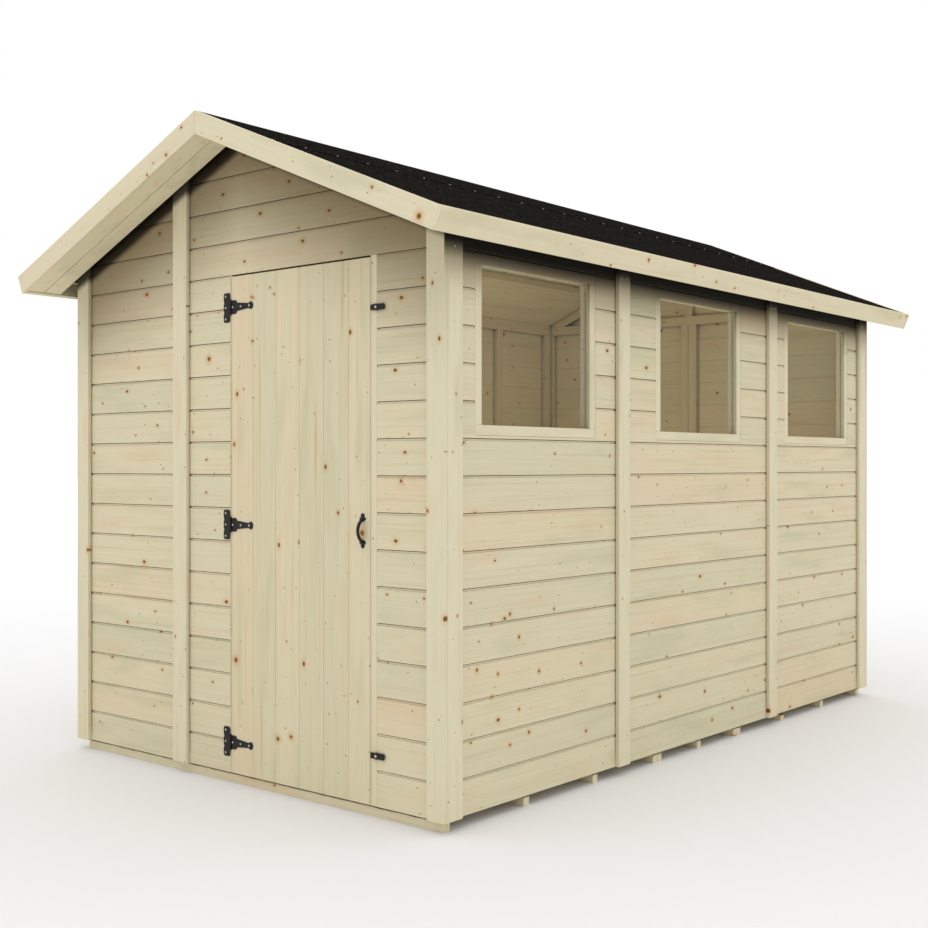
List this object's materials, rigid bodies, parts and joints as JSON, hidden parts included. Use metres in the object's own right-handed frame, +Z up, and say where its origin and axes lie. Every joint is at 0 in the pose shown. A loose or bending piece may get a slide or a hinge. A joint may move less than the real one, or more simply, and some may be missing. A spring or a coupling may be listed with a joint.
{
  "type": "garden shed",
  "caption": "Timber garden shed with an apex felt roof, a hinged plank door in one gable, and a side wall with fixed windows.",
  "frame": {"origin": "on the ground, under the middle of the roof", "axes": "+Z up, -Y out of the gable with the door, +X out of the side wall with the windows"},
  "size_m": [2.11, 3.39, 2.23],
  "materials": {
    "cladding": "planed softwood boards, pressure treated",
    "trim": "planed softwood strip, pressure treated",
    "framing": "sawn softwood batten, pressure treated",
    "floor": "planed floor board, pressure treated",
    "felt": "mineral roofing felt",
    "glazing": "clear sheet",
    "ironwork": "black powder coat",
    "screws": "zinc plated"
  },
  "bodies": {
    "shed": {"floor_bearers": "framing", "floor_panels": "floor", "front_left_panel": "cladding", "front_hinge_side": "cladding", "front_lock_side": "cladding", "front_over_door": "cladding", "rear_wall": "cladding", "left_wall": "cladding", "right_wall_lower": "cladding", "right_wall_upper": "cladding", "right_wall_piers": "cladding", "front_studs": "framing", "rear_studs": "framing", "left_studs": "framing", "right_studs": "framing", "wall_plates": "framing", "middle_rails": "framing", "gable_rafters": "framing", "roof_purlins": "framing", "roof_boards_left": "cladding", "roof_boards_right": "cladding", "roof_felt": "felt", "felt_ridge_cap": "felt", "verge_soffits": "trim", "barge_boards_left": "trim", "barge_boards_right": "trim", "fascia_left": "trim", "fascia_right": "trim", "front_strips": "trim", "rear_strips": "trim", "left_strips": "trim", "right_strips": "trim", "window_sills": "trim", "window_heads": "trim", "window_jambs": "trim", "window_panes": "glazing", "door_frame": "framing", "hinge_plates": "ironwork", "turn_button_screws": "screws"},
    "door": {"door_leaf": "cladding", "door_ledges": "framing", "door_braces": "framing", "hinge_straps": "ironwork", "pull_handle": "ironwork"},
    "top_button": {"turn_button_top": "ironwork"},
    "bottom_button": {"turn_button_bottom": "ironwork"}
  },
  "joints": [
    {"name": "door_hinge", "type": "hinge", "parent": "shed", "child": "door", "pos_m": [-0.0415, -1.511, 0.875], "axis": [0, 0, -1], "range_deg": [0, 110]},
    {"name": "top_button_turn", "type": "hinge", "parent": "shed", "child": "top_button", "pos_m": [0.643, -1.507, 1.5569], "axis": [0, -1, 0], "range_deg": [0, 90]},
    {"name": "bottom_button_turn", "type": "hinge", "parent": "shed", "child": "bottom_button", "pos_m": [0.643, -1.507, 0.193], "axis": [0, -1, 0], "range_deg": [0, 90]}
  ]
}
